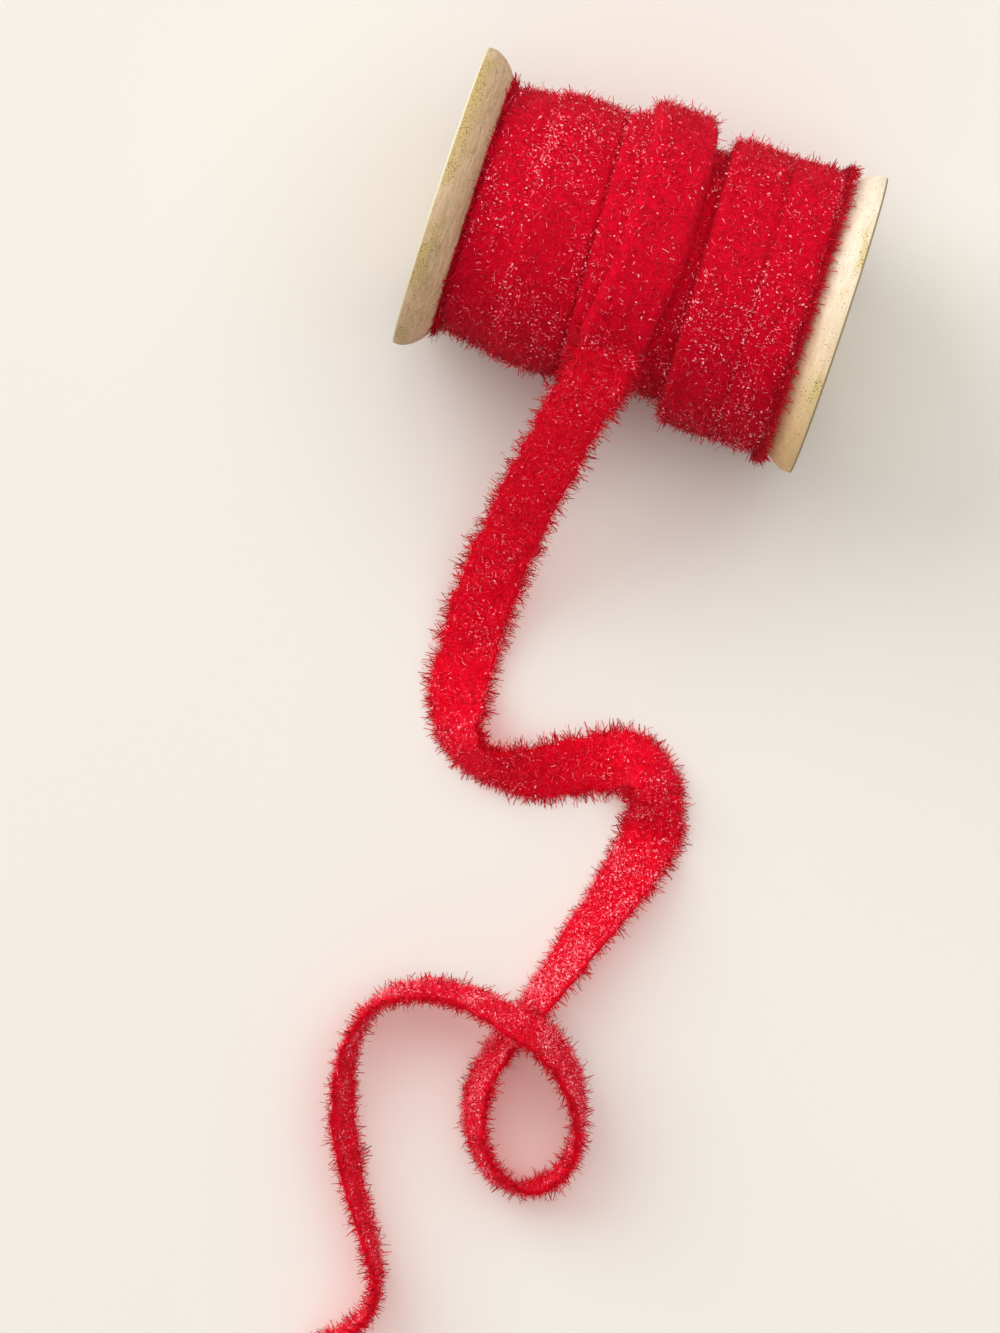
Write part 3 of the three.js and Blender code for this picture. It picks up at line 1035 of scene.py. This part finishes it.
    def sparkle(self, skin: Skin, rng: Chance) -> Array:
        """How far the painted glints favour each cell: in drifts, along the bands' edges, less on the last
        turn.

        Args:
            skin: the roll's skin.
            rng: where the chance comes from.

        Returns:
            A value for each cell.
        """
        lines = self.fine_lines()
        x = (lines[1:, 0] + lines[:-1, 0]) / 2
        last = (lines[1:, 3] + lines[:-1, 3]) / 2
        edges = sum(np.exp(-(((x - edge) / self.edge_reach) ** 2)) for edge in self.sparkling_edges)
        along = (1 - self.last_turn_loss * last) * (1 + self.edge_gain * edges)
        return along * drifts((len(skin.places) - 1, len(x)), self.sparkle_reach, rng)

    def end_roots(self, count: int, rng: Chance) -> Roots:
        """Roots where both ends of the roll meet the discs, pointing outwards and to the disc.

        Args:
            count: how many.
            rng: where the chance comes from.

        Returns:
            The roots.
        """
        grid = self.form(self.end_depth)
        lines = self.fine_lines()
        beyond = [sign * lines[:, 0] > self.end_distance for sign in (-1, 1)]
        ends = [np.argmax(np.where(outer, lines[:, 1], 0.0)) for outer in beyond]
        side = rng.integers(0, 2, count)
        row = rng.integers(0, len(grid), count)
        place = grid[row, np.array(ends)[side]] + rng.normal(0.0, self.end_ragged, (count, 3))
        around = np.arctan2(place[:, 2] - AXLE_HEIGHT, -place[:, 1])
        sideways = np.where(side == 1, 1.0, -1.0)
        out = np.stack([self.end_lean * sideways, -np.cos(around), np.sin(around)], axis=-1)
        return Roots(place, unit(out))

    def build(self, material: Material) -> Piece:
        """Makes the wound ground, closed by its flat ends and its core.

        Args:
            material: its finish.

        Returns:
            The piece.
        """
        grid = self.form(self.pile_depth)
        around = np.radians(self.angles())[:, None]
        core = [
            np.stack(
                [
                    np.full_like(around, x), -self.core_radius * np.cos(around),
                    AXLE_HEIGHT + self.core_radius * np.sin(around),
                ],
                axis=-1,
            )
            for x in (self.core_half_length, -self.core_half_length)
        ]
        grid = np.concatenate([grid, *core, grid[:, :1]], axis=1)
        piece = add_piece("wound_ground", sheet_mesh("wound_ground", grid), material)
        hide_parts("winding")
        return piece

    def grow_pile(self, film: Material, rng: Chance) -> None:
        """Grows the dense pile in two pieces, from lashes of one film.

        Args:
            film: the lashes' finish.
            rng: where the chance comes from.
        """
        skin = self.skin()
        for part in "ab":
            pile = Pile(f"wound_pile_{part}")
            pile.sow(skin.scatter(self.pile_count, rng, self.openness(skin)), WOUND, rng)
            pile.build(film)

    def grow_strays(self, film: Material, painted_glint_film: Material, rng: Chance) -> None:
        """Grows the lashes that stand out or fray over the discs, from film, and the glints, painted
        highlights, from flake.

        Args:
            film: the lashes' finish.
            painted_glint_film: the painted glints' finish.
            rng: where the chance comes from.
        """
        skin = self.skin()
        open_side = self.openness(skin)
        strays = Pile("wound_strays")
        strays.sow(skin.scatter(self.stray_count, rng, open_side), LONG, rng)
        strays.sow(self.end_roots(self.end_stray_count, rng), LONG, rng)
        strays.sow(self.end_roots(self.end_pile_count, rng), WOUND, rng)
        strays.build(film)
        glints = Pile("wound_glints")
        glints.sow(skin.scatter(self.glint_count, rng, open_side * self.sparkle(skin, rng)), GLINT, rng)
        glints.build(painted_glint_film)


def sheet_mesh(name: str, grid: Array) -> bpy.types.Mesh:
    """Bends a flat grid onto the given places and joins the edges that meet.

    Args:
        name: the mesh's name.
        grid: places in the spool's frame, rows by columns.

    Returns:
        The mesh.
    """
    shape = bmesh.new()
    rows, columns = grid.shape[:2]
    bmesh.ops.create_grid(shape, x_segments=columns - 1, y_segments=rows - 1, size=1.0)
    places = in_frame(grid)
    places[..., 2] = np.maximum(places[..., 2], 0.0)
    for vert in shape.verts:
        column = round((vert.co.x + 1) / 2 * (columns - 1))
        row = round((vert.co.y + 1) / 2 * (rows - 1))
        vert.co = places[row, column]
    bmesh.ops.remove_doubles(shape, verts=shape.verts, dist=0.001 * MM)
    bmesh.ops.recalc_face_normals(shape, faces=shape.faces)
    return finished_mesh(name, shape)


Faces = list[tuple[Skin, Array]]


class TailRow(NamedTuple):
    """A place where the loose end bends or leans. See LooseEnd for what the columns do."""

    x: float
    y: float
    low: float
    lean: float
    curl: float


TAIL = [TailRow(*row) for row in (
    (-0.1, -20.8, 52.6, 0, 0),
    (-0.6, -24.8, 49.0, 0, 5),
    (-2.0, -30.4, 43.4, 0, 12),
    (-4.3, -40.5, 32.8, 0, 15),
    (-6.2, -52.2, 21.2, 0, 15),
    (-7.4, -60.5, 13.8, 0, 15),
    (-8.2, -67.5, 8.6, 0, 12),
    (-8.6, -75.0, 4.6, 0, 10),
    (-8.5, -82.5, 1.8, 0, 8),
    (-7.9, -91.5, 0.3, 10, 8),
    (-6.7, -97.5, 0, 32, 10),
    (-4.6, -102.0, 0, 50, 12),
    (-1.3, -105.1, 0, 61, 15),
    (4.0, -106.0, 0, 58, 15),
    (10.0, -105.2, 0, 38, 20),
    (17.6, -102.0, 0, 22, 25),
    (25.0, -97.8, 0.2, 4, 32),
    (31.0, -95.6, 0.6, -20, 42),
    (35.6, -97.0, 1.0, -38, 48),
    (38.4, -100.7, 1.0, -38, 52),
    (39.2, -105.5, 0.6, -18, 58),
    (38.2, -112.8, 0, 18, 56),
    (35.6, -121.2, 0, 36, 35),
    (30.9, -137.2, 0, 54, 20),
    (25.6, -153.4, 0, 68, 10),
    (21.6, -167.0, 0, 70, 8),
    (22.3, -174.2, 0, 72, 8),
    (25.4, -180.6, 0, 76, 8),
    (30.4, -185.0, 0, 82, 8),
    (36.0, -185.9, 0, 90, 8),
    (41.0, -183.0, 0, 98, 8),
    (43.9, -177.4, 0.6, 97, 8),
    (43.7, -170.5, 2.4, 88, 8),
    (40.8, -163.7, 5.6, 76, 8),
    (36.0, -158.2, 9.6, 68, 8),
    (30.4, -154.9, 12.9, 62, 8),
    (25.0, -153.3, 14.0, 64, 8),
    (19.6, -152.2, 12.0, 69, 8),
    (12.7, -151.7, 8.2, 73, 8),
    (5.5, -152.8, 5.0, 76, 8),
    (-0.4, -155.6, 3.2, 82, 8),
    (-4.8, -160.8, 2.2, 92, 8),
    (-6.2, -168.0, 1.6, 101, 8),
    (-5.2, -176.5, 1.0, 107, 8),
    (-2.4, -185.0, 0.4, 110, 8),
    (1.7, -193.2, 0, 108, 8),
    (10.7, -207.2, 0, 99, 8),
    (13.8, -213.2, 0, 92, 8),
    (14.3, -218.8, 0, 88, 8),
    (12.2, -223.2, 0, 84, 8),
    (4.8, -231.0, 0, 80, 8),
)]


@dataclass
class LooseEnd:
    """The ribbon's loose end, a thin strip that comes down to the table, bends, loops and arches.

    x and y of a TAIL row place its middle, low is the height of its lowest edge over the floor, lean is how
    far its left side (looking along it) is lifted, from 0, lying flat, to 90, standing on edge, and curl
    bends its section into an arch. Each of ripples is a wave by its pace along the strip, its slope across
    it and its start, and sway is one by its pace and start. sparkle_along is the painted glints' share by
    row, highest on the stretches whose face looks to the lamps.
    """

    width: float = 12.7
    full_thickness: float = 2.2
    edge_thickness: float = 0.75
    ground_width: float = 11.9
    ground_thickness: float = 0.6
    ragged: float = 0.2
    tucked: float = 0.03
    edge_depth: float = 0.7
    steps_per_row: int = 12
    columns: int = 12
    least_curl: float = 0.1
    edge_share: float = 0.49
    ripple: float = 0.18
    ripples: tuple[Triple, ...] = ((5.1, 0.5, 0.0), (2.3, -0.9, 1.0))
    sway: Range = (3.7, 2.0)
    roll_radius: float = 30.9
    tongue: float = 3.0
    tongue_sink: float = 0.35
    tongue_steps: int = 4
    # Painted glints and pale lashes go most on the stretches whose face looks to the lamps
    sparkle_along: tuple[Range, ...] = (
        (0, 0.3), (8, 0.35), (12, 0.3), (16, 0.2), (21, 0.7), (22, 1.8), (25, 1.8), (27, 0.5), (29, 0.2),
        (32, 0.5), (35, 1.5), (40, 1.5), (43, 0.5), (45, 0.2), (47, 0.8), (50, 0.9),
    )
    sparkle_reach: tuple[int, int] = (4, 3)
    pile_count: int = 20000
    pale_glint_count: int = 3500
    fringe_count: int = 8000
    stray_count: int = 3200
    glint_count: int = 7500
    edge_count: int = 5200

    centre: Array = field(init=False)
    across: Array = field(init=False)
    out: Array = field(init=False)
    curl: Array = field(init=False)

    def __post_init__(self) -> None:
        """Works out the strip's middle line and its directions at every step."""
        rows = np.array(TAIL)
        shares = np.linspace(0, 1, (len(rows) - 1) * self.steps_per_row + 1)
        self.centre = smooth_through(rows[:, :3], shares)
        low, lean, self.curl = smooth_through(rows[:, 2:], shares).T
        ahead = unit(np.gradient(self.centre, axis=0))
        left = unit(np.cross([0.0, 0.0, 1.0], ahead))
        up = np.cross(ahead, left)
        tilt = np.radians(lean)[:, None]
        self.across = np.cos(tilt) * left + np.sin(tilt) * up
        self.out = np.cross(ahead, self.across)
        full, half = self.full_thickness / 2, self.width / 2
        outline = [(half - full, full), (half, self.edge_thickness / 2), (0.0, full)]
        corners = [(a * x, b * y) for x, y in outline for a in (-1, 1) for b in (-1, 1)]
        lowest = np.min([self.offset(x, y)[:, 2] for x, y in corners], axis=0)
        self.centre[:, 2] = np.maximum(0, low) - lowest

    def offset(self, across: float | Array, out: float) -> Array:
        """How far a point of the curled section lies from the middle line, at every step.

        Args:
            across: where over the strip's width.
            out: how far out of its face.

        Returns:
            The offsets, one a step.
        """
        bend = np.radians(np.maximum(self.curl, self.least_curl)) / self.width
        ring = 1 / bend + out
        sideways = (ring * np.sin(across * bend))[:, None]
        outwards = (ring * np.cos(across * bend) - 1 / bend)[:, None]
        return sideways * self.across + outwards * self.out

    def length(self) -> float:
        """Length along the middle line, in millimetres."""
        return float(np.linalg.norm(np.diff(self.centre, axis=0), axis=1).sum())

    def on_roll(self, sheet: Array) -> Array:
        """The sheet with a short tongue before its start, which lies back over the roll and sinks in.

        Args:
            sheet: places, steps by columns.

        Returns:
            The longer sheet.
        """
        back = unit(sheet[0] - sheet[1])
        steps = []
        for number in range(self.tongue_steps, 0, -1):
            reach = self.tongue * number / self.tongue_steps
            sunk = self.tongue_sink * (number / self.tongue_steps) ** 2
            step = sheet[0] + reach * back
            from_axle = step - np.array([0.0, 0.0, AXLE_HEIGHT])
            from_axle[:, 0] = 0.0
            steps.append(step - (sunk + reach * reach / (2 * self.roll_radius)) * unit(from_axle))
        return np.concatenate([np.stack(steps), sheet])

    def middle_sheet(self) -> Array:
        """Grid of places halfway through the strip, steps by columns, with slight ripples."""
        span = np.linspace(-0.5, 0.5, self.columns + 1) * self.ground_width
        step = np.arange(len(self.centre)) / self.steps_per_row
        chance = np.random.default_rng(SEED)
        ravel = chance.normal(0.0, self.ragged, (2, len(step)))
        ravel = (ravel + np.roll(ravel, 1, axis=1)) / math.sqrt(2)
        sheets = []
        for across in span:
            outer = abs(across) > self.edge_share * self.ground_width
            across = across + (ravel[int(across > 0)] if outer else 0.0)
            wave = sum(np.sin(step * pace + across * slope + start) for pace, slope, start in self.ripples)
            sway = np.sin(step * self.sway[0] + self.sway[1])
            sheets.append(
                self.centre + self.offset(across, 0.0) + self.ripple / 2 * wave[:, None] * self.out
                + self.ripple * sway[:, None] * self.across
            )
        return self.on_roll(np.stack(sheets, axis=1))

    def skins(self) -> tuple[Skin, Skin]:
        """The strip's two faces."""
        middle = Skin.from_grid(self.middle_sheet())
        offset = middle.outward * self.ground_thickness / 2
        return (
            Skin(middle.places + offset, middle.outward),
            Skin(middle.places - offset, -middle.outward),
        )

    def sparkle(self, skin: Skin, rng: Chance) -> Array:
        """How far the painted glints favour each cell of a face: by sparkle_along, and in drifts.

        Args:
            skin: the face.
            rng: where the chance comes from.

        Returns:
            A value for each cell.
        """
        rows, columns = (count - 1 for count in skin.places.shape[:2])
        along = np.interp(np.arange(rows) / self.steps_per_row, *zip(*self.sparkle_along))
        return along[:, None] * drifts((rows, columns), self.sparkle_reach, rng)

    def edge_roots(self, count: int, rng: Chance) -> Roots:
        """Roots along both edges, pointing away from the strip.

        Args:
            count: how many.
            rng: where the chance comes from.

        Returns:
            The roots.
        """
        middle = Skin.from_grid(self.middle_sheet())
        side = rng.integers(0, 2, count)
        row = rng.random(count) * (len(middle.places) - 1)
        edge = middle.at(row, side * float(self.columns))
        inner = middle.at(row, np.where(side == 1, self.columns - 1.0, 1.0))
        away = unit(edge.places - inner.places)
        inwards = rng.uniform(0.0, self.edge_depth, count)[:, None]
        aside = rng.normal(0.0, self.ground_thickness / 2, count)[:, None]
        return Roots(edge.places - inwards * away + aside * edge.outward, away)

    def build(self, material: Material) -> Piece:
        """Makes the strip's woven ground.

        Args:
            material: its finish.

        Returns:
            The piece.
        """
        front, back = (
            skin.places + self.tucked * (skin.places.mean(axis=1, keepdims=True) - skin.places)
            for skin in self.skins()
        )
        grid = np.concatenate([front, back[:, ::-1], front[:, :1]], axis=1)
        mesh = sheet_mesh("loose_ground", grid)
        shape = bmesh.new()
        shape.from_mesh(mesh)
        bmesh.ops.holes_fill(shape, edges=[edge for edge in shape.edges if edge.is_boundary], sides=0)
        bmesh.ops.triangulate(shape, faces=[face for face in shape.faces if len(face.verts) > 4])
        bmesh.ops.recalc_face_normals(shape, faces=shape.faces)
        shape.to_mesh(mesh)
        shape.free()
        piece = add_piece("loose_ground", mesh, material)
        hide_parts("tail")
        return piece

    def favoured(self, rng: Chance) -> Faces:
        """Both faces, each with how far glints favour its cells."""
        return [(face, self.sparkle(face, rng)) for face in self.skins()]

    def grow_pile(self, faces: Faces, film: Material, rng: Chance) -> list[Piece]:
        """Grows the dense pile with its pale lashes, which are painted glints, and its fringe, a piece for
        each face.

        Args:
            faces: each face and how far glints favour its cells.
            film: the lashes' finish.
            rng: where the chance comes from.

        Returns:
            The pieces.
        """
        pieces = []
        for part, (face, favour) in zip("ab", faces):
            pile = Pile(f"loose_pile_{part}")
            pile.sow(face.scatter(self.pile_count, rng), LOOSE, rng)
            pile.sow(face.scatter(self.pale_glint_count, rng, favour), PALE_GLINT, rng)
            pile.sow(self.edge_roots(self.fringe_count, rng), FRINGE, rng)
            pieces.append(pile.build(film))
        return pieces

    def grow_strays(self, faces: Faces, film: Material, painted_glint_film: Material, rng: Chance) -> list[Piece]:
        """Grows the lashes that stand out, from film, and the glints, painted highlights, from flake.

        Args:
            faces: each face and how far glints favour its cells.
            film: the lashes' finish.
            painted_glint_film: the painted glints' finish.
            rng: where the chance comes from.

        Returns:
            The pieces.
        """
        strays = Pile("loose_strays")
        glints = Pile("loose_glints")
        for face, favour in faces:
            strays.sow(face.scatter(self.stray_count, rng), LONG, rng)
            glints.sow(face.scatter(self.glint_count, rng, favour), GLINT, rng)
        strays.sow(self.edge_roots(self.edge_count, rng), EDGE, rng)
        return [strays.build(film), glints.build(painted_glint_film)]


@dataclass
class Studio:
    """The table, the light and the camera straight above."""

    camera_height: float = 1281.0
    camera_foot: tuple[float, float] = (-1.2, -85.9)
    camera_turn: float = 18.18
    focal_pixels: float = 6250.0
    image_height: int = 1333
    sensor: float = 36.0
    clip: tuple[float, float] = (0.1, 20.0)
    table_size: float = 4.0
    light_colour: Colour = (1.0, 0.98, 0.955)
    light_heading: tuple[float, float] = (-0.92, 0.39)
    light_elevation: float = 33.0
    light_distance: float = 6.0
    light_size: float = 5.3
    light_power: float = 213.0
    ceiling_place: Triple = (0.15, 0.85, 2.5)
    ceiling_size: float = 4.0
    ceiling_power: float = 51.0
    fill: float = 0.365
    fill_colour: Colour = (1.0, 0.985, 0.955)

    def add_table(self) -> None:
        """Lays the table top under the roll."""
        shape = bmesh.new()
        bmesh.ops.create_grid(shape, x_segments=1, y_segments=1, size=self.table_size)
        mesh = bpy.data.meshes.new("table")
        shape.to_mesh(mesh)
        shape.free()
        mesh.materials.append(PaintedTable().material())
        table = bpy.data.objects.new("table", mesh)
        bpy.context.scene.collection.objects.link(table)

    def add_lamp(self, name: str, place: Vector, size: float, power: float) -> None:
        """Adds a soft round lamp that looks at the roll.

        Args:
            name: its name.
            place: where it hangs.
            size: how wide it is.
            power: its power in watts.
        """
        lamp = bpy.data.lights.new(name, "AREA")
        lamp.shape = "DISK"
        lamp.size = size
        lamp.energy = power
        lamp.color = self.light_colour
        holder = bpy.data.objects.new(name, lamp)
        holder.location = place
        holder.rotation_mode = "QUATERNION"
        holder.rotation_quaternion = place.to_track_quat("Z", "Y")
        holder.visible_camera = False
        bpy.context.scene.collection.objects.link(holder)

    def add_light(self) -> None:
        """Adds a large soft lamp at the back left, a pale ceiling and a dim even surround."""
        tilt = math.radians(self.light_elevation)
        heading = Vector((*self.light_heading, 0.0)).normalized()
        towards = heading * math.cos(tilt) + Vector((0, 0, math.sin(tilt)))
        self.add_lamp("window", towards * self.light_distance, self.light_size, self.light_power)
        self.add_lamp("ceiling", Vector(self.ceiling_place), self.ceiling_size, self.ceiling_power)
        world = bpy.data.worlds.new("surround")
        world.use_nodes = True
        background = world.node_tree.nodes["Background"]
        background.inputs["Color"].default_value = (*self.fill_colour, 1.0)
        background.inputs["Strength"].default_value = self.fill
        bpy.context.scene.world = world

    def add_camera(self) -> None:
        """Hangs the camera over the loose end, turned as the photograph is."""
        lens = bpy.data.cameras.new("overhead")
        lens.sensor_width = self.sensor
        lens.lens = self.focal_pixels / self.image_height * self.sensor
        lens.clip_start, lens.clip_end = self.clip
        camera = bpy.data.objects.new("overhead", lens)
        camera.location = in_frame(np.array([*self.camera_foot, self.camera_height]))
        camera.rotation_euler = (0.0, 0.0, math.radians(self.camera_turn))
        bpy.context.scene.collection.objects.link(camera)
        bpy.context.scene.camera = camera
        bpy.context.scene.view_settings.view_transform = "Standard"


def main() -> None:
    """Builds the roll and its studio, and reports each piece."""
    logging.basicConfig(level=logging.INFO, format="%(name)s: %(message)s")
    rng = np.random.default_rng(SEED)
    studio = Studio()
    studio.add_camera()
    studio.add_light()
    studio.add_table()

    # back and front paint light and shade on each disc, paler at the back, which faces the lamps; on this
    # left disc the two differ little
    tan = TurnedWood(
        "turned_wood_tan", Side.LEFT, back=(0.71, 0.52, 0.34), front=(0.74, 0.52, 0.33),
        gold=(0.58, 0.42, 0.18), edge=(0.80, 0.72, 0.52), gold_from=0.42, streak_depth=0.24,
        crack_depth=0.6,
    )
    # edge paints a thin line round the rim's outer corner: painted shade on this right disc, painted light
    # on the left one
    pale = TurnedWood(
        "turned_wood_pale", Side.RIGHT, back=(0.95, 0.84, 0.68), front=(0.86, 0.60, 0.31),
        gold=(0.78, 0.60, 0.28), edge=(0.34, 0.27, 0.14), gold_from=0.58, streak_depth=0.12,
        crack_depth=0.3,
    )
    # The left disc is darker and more tan than the right: partly the wood's own tone, partly painted shade,
    # as its inner rounding turns from the lamps
    Flange(Side.LEFT).build(tan, Slot.WOOD_TAN, "flange_left")
    Flange(Side.RIGHT).build(pale, Slot.WOOD_PALE, "flange_right")
    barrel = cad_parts["barrel"]
    barrel.data.materials.clear()
    barrel.data.materials.append(bpy.data.materials[pale.name])

    winding = Winding()
    tail = LooseEnd()
    winding.build(WovenGround().material())
    strip = tail.build(WovenGround("ribbon_single", True).material())
    deep_film = TinselFilm("tinsel_deep").material()
    clear_film = TinselFilm("tinsel_clear", clear=True).material()
    # The glints' finish: glossy film in the palest tones, painted glints
    painted_glint_film = TinselFilm("tinsel_painted_glint", roughness=0.28, gloss=0.6).material()
    winding.grow_pile(deep_film, rng)
    faces = tail.favoured(rng)
    piles = tail.grow_pile(faces, clear_film, rng)
    winding.grow_strays(deep_film, painted_glint_film, rng)
    piles += tail.grow_strays(faces, clear_film, painted_glint_film, rng)
    flat = (tail.width * MM, tail.length() * MM)
    LOG.info("loose end: %.1f mm long", tail.length())


if __name__ == "__main__":
    main()
